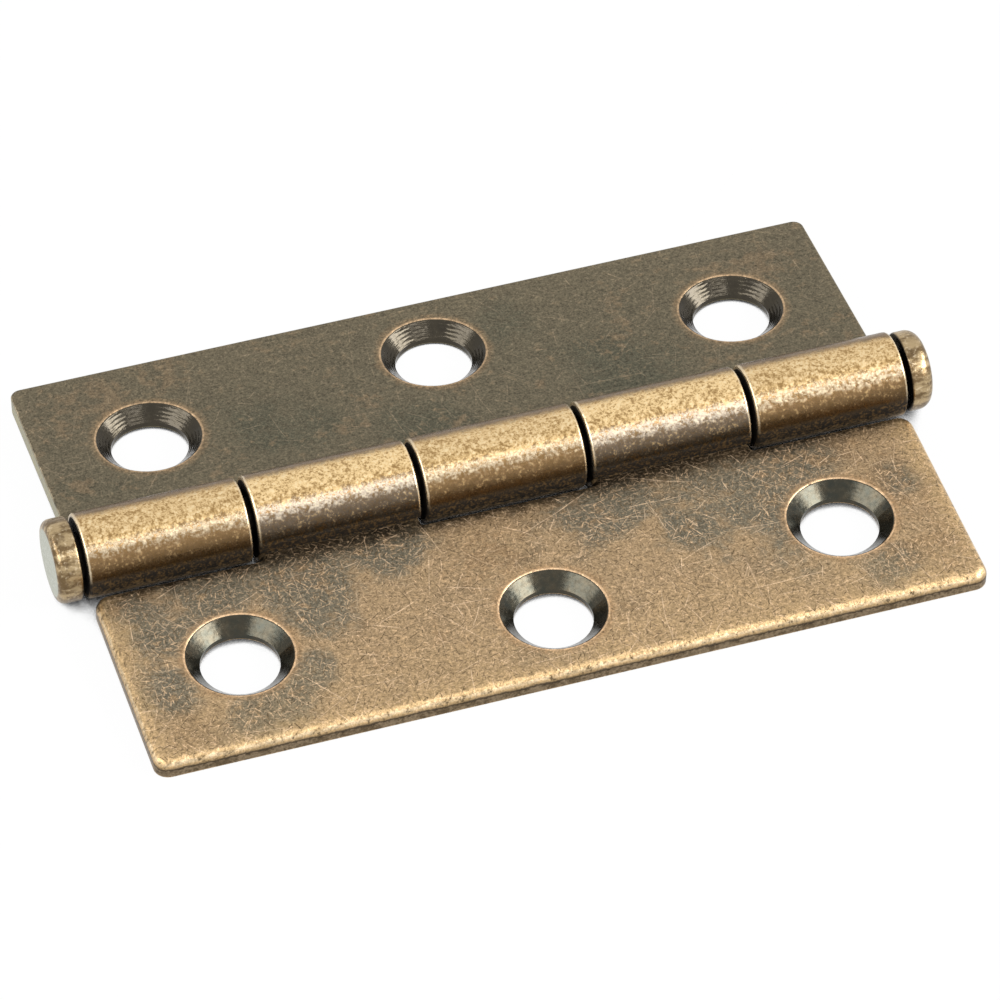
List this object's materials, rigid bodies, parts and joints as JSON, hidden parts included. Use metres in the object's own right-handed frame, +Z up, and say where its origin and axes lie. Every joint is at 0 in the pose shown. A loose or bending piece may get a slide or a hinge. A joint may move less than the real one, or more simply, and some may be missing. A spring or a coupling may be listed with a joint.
{
  "type": "butt hinge",
  "caption": "Narrow butt hinge lying open: flat rectangular leaves with countersunk screw holes and rolled knuckles interleaved on a headed pin.",
  "frame": {"origin": "centre of the object's footprint on the table that it lies on; the pin axis runs through X at Y = 0, one barrel radius above it", "axes": "+X along the pin toward its smaller head, +Y toward the rear leaf, which carries three knuckles, +Z up out of the countersunk side"},
  "size_m": [0.0816, 0.05, 0.0077],
  "materials": {
    "rear_leaf": "antique brass plate over steel, dark and rubbed",
    "front_leaf": "antique brass plate over steel, rubbed golden at the edges",
    "hinge_pin": "antique brass plate over steel"
  },
  "bodies": {
    "rear_leaf": {"rear_leaf": "rear_leaf"},
    "front_leaf": {"front_leaf": "front_leaf"},
    "hinge_pin": {"hinge_pin": "hinge_pin"}
  },
  "joints": [
    {"name": "leaf_hinge", "type": "hinge", "parent": "rear_leaf", "child": "front_leaf", "pos_m": [0, 0, 0.00387], "axis": [-1, 0, 0], "range_deg": [-106, 189]},
    {"name": "pin_spin", "type": "hinge", "parent": "rear_leaf", "child": "hinge_pin", "pos_m": [0, 0, 0.00387], "axis": [1, 0, 0], "continuous": true}
  ]
}
